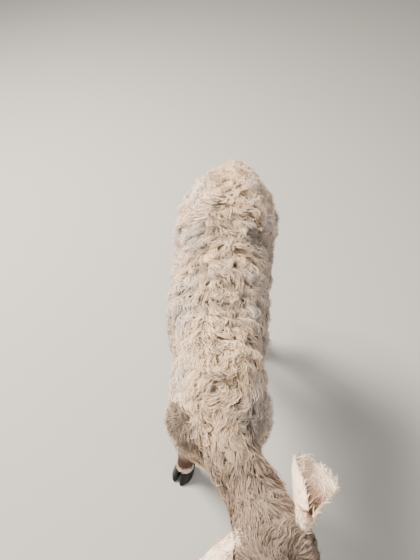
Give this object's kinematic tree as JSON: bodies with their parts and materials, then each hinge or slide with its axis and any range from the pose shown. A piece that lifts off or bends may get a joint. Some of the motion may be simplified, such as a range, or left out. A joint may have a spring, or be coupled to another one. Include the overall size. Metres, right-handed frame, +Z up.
{
  "type": "original braunvieh calf",
  "caption": "Life-size still model of a newborn brown mountain calf standing on four cloven hooves, with a curly silver-grey coat, head lowered and turned to its left.",
  "frame": {"origin": "centre of the bounding box at the floor under the calf", "axes": "+Z up, the calf faces -Y, and its left side is towards +X"},
  "size_m": [0.2848, 0.9458, 0.7574],
  "materials": {
    "coat_silver": "curly silver-grey hair",
    "coat_leg": "short brown hair",
    "coat_ear": "pale fringed hair",
    "horn_black": "black horn, satin",
    "eye_dark": "wet dark brown eye"
  },
  "bodies": {
    "root": {"torso": "coat_silver", "neck": "coat_silver", "head": "coat_silver", "ear_left": "coat_ear", "ear_right": "coat_ear", "eye_left": "eye_dark", "eye_right": "eye_dark", "tail": "coat_silver", "tail_switch": "coat_silver", "foreleg_left": "coat_leg", "foreleg_right": "coat_leg", "hindleg_left": "coat_leg", "hindleg_right": "coat_leg", "claw_fore_left_a": "horn_black", "dewclaw_fore_left_a": "horn_black", "claw_fore_left_b": "horn_black", "dewclaw_fore_left_b": "horn_black", "claw_fore_right_a": "horn_black", "dewclaw_fore_right_a": "horn_black", "claw_fore_right_b": "horn_black", "dewclaw_fore_right_b": "horn_black", "claw_hind_left_a": "horn_black", "dewclaw_hind_left_a": "horn_black", "claw_hind_left_b": "horn_black", "dewclaw_hind_left_b": "horn_black", "claw_hind_right_a": "horn_black", "dewclaw_hind_right_a": "horn_black", "claw_hind_right_b": "horn_black", "dewclaw_hind_right_b": "horn_black"}
  },
  "joints": []
}
